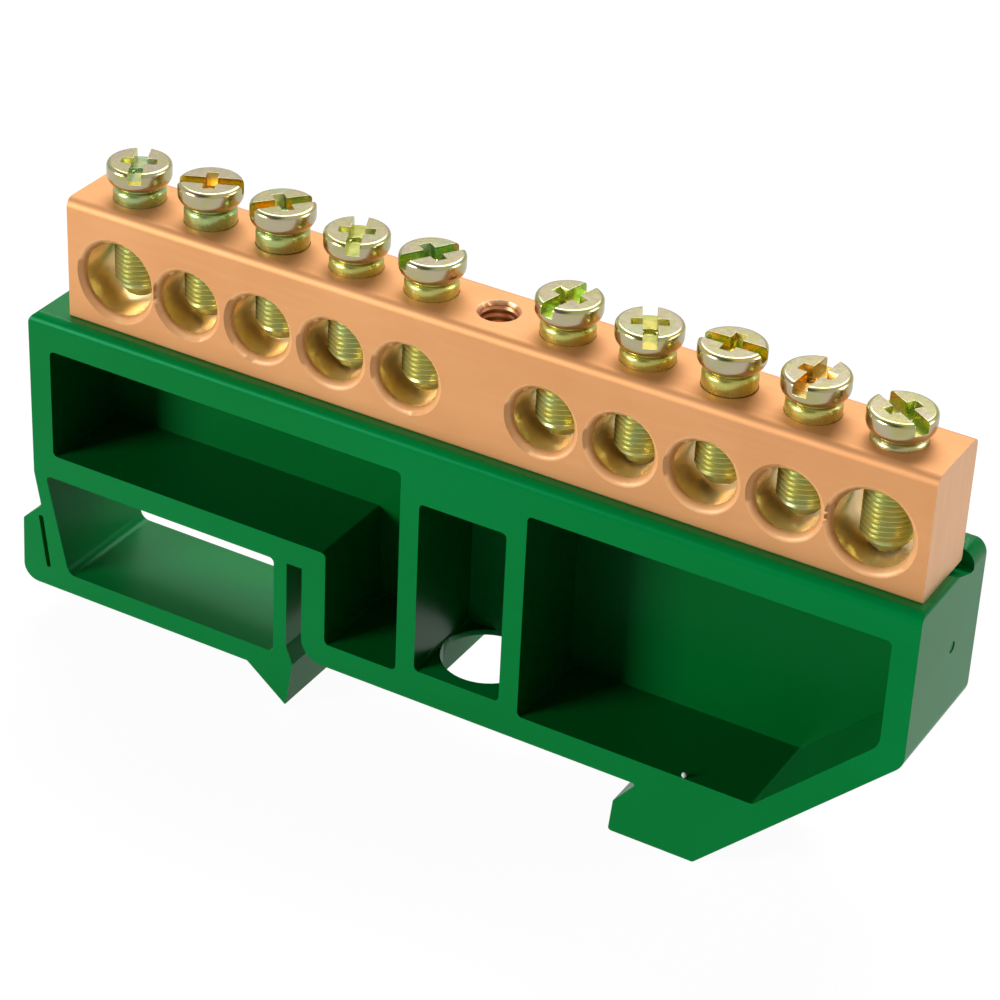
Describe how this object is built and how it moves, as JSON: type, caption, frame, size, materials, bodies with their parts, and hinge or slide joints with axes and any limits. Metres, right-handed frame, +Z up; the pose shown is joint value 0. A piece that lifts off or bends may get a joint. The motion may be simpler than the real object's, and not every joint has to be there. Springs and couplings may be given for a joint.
{
  "type": "earth terminal bar",
  "caption": "Earth terminal bar: a drilled metal bar with a row of clamp screws on a green plastic base with open pockets and a sprung latch for a top-hat rail.",
  "frame": {"origin": "middle of the rail seat, in the plane of the screw axes", "axes": "+X along the bar away from the latch, +Y from the open pockets to the back, +Z up from the rail to the screw heads"},
  "size_m": [0.0911, 0.0133, 0.0488],
  "materials": {
    "green_plastic": "glossy moulded polyamide, green",
    "bar_metal": "satin, copper-toned, with bright drilled holes",
    "screw_metal": "zinc plated and yellow passivated, pale silver-green"
  },
  "bodies": {
    "holder": {"base": "green_plastic", "bar": "bar_metal", "fixing_screw": "screw_metal"},
    "screw_1": {"terminal_screw_1": "screw_metal"},
    "screw_2": {"terminal_screw_2": "screw_metal"},
    "screw_3": {"terminal_screw_3": "screw_metal"},
    "screw_4": {"terminal_screw_4": "screw_metal"},
    "screw_5": {"terminal_screw_5": "screw_metal"},
    "screw_6": {"terminal_screw_6": "screw_metal"},
    "screw_7": {"terminal_screw_7": "screw_metal"},
    "screw_8": {"terminal_screw_8": "screw_metal"},
    "screw_9": {"terminal_screw_9": "screw_metal"},
    "screw_10": {"terminal_screw_10": "screw_metal"}
  },
  "joints": [
    {"name": "clamp_1", "type": "slide", "parent": "holder", "child": "screw_1", "axis": [0, 0, 1], "range_m": [-0.0008, 0.0059]},
    {"name": "clamp_2", "type": "slide", "parent": "holder", "child": "screw_2", "axis": [0, 0, 1], "range_m": [-0.0004, 0.005]},
    {"name": "clamp_3", "type": "slide", "parent": "holder", "child": "screw_3", "axis": [0, 0, 1], "range_m": [-0.0005, 0.0049]},
    {"name": "clamp_4", "type": "slide", "parent": "holder", "child": "screw_4", "axis": [0, 0, 1], "range_m": [0, 0.0054]},
    {"name": "clamp_5", "type": "slide", "parent": "holder", "child": "screw_5", "axis": [0, 0, 1], "range_m": [-0.0002, 0.0052]},
    {"name": "clamp_6", "type": "slide", "parent": "holder", "child": "screw_6", "axis": [0, 0, 1], "range_m": [-0.0002, 0.0053]},
    {"name": "clamp_7", "type": "slide", "parent": "holder", "child": "screw_7", "axis": [0, 0, 1], "range_m": [0, 0.0054]},
    {"name": "clamp_8", "type": "slide", "parent": "holder", "child": "screw_8", "axis": [0, 0, 1], "range_m": [-0.0005, 0.0049]},
    {"name": "clamp_9", "type": "slide", "parent": "holder", "child": "screw_9", "axis": [0, 0, 1], "range_m": [-0.0002, 0.0052]},
    {"name": "clamp_10", "type": "slide", "parent": "holder", "child": "screw_10", "axis": [0, 0, 1], "range_m": [-0.0001, 0.0066]}
  ]
}
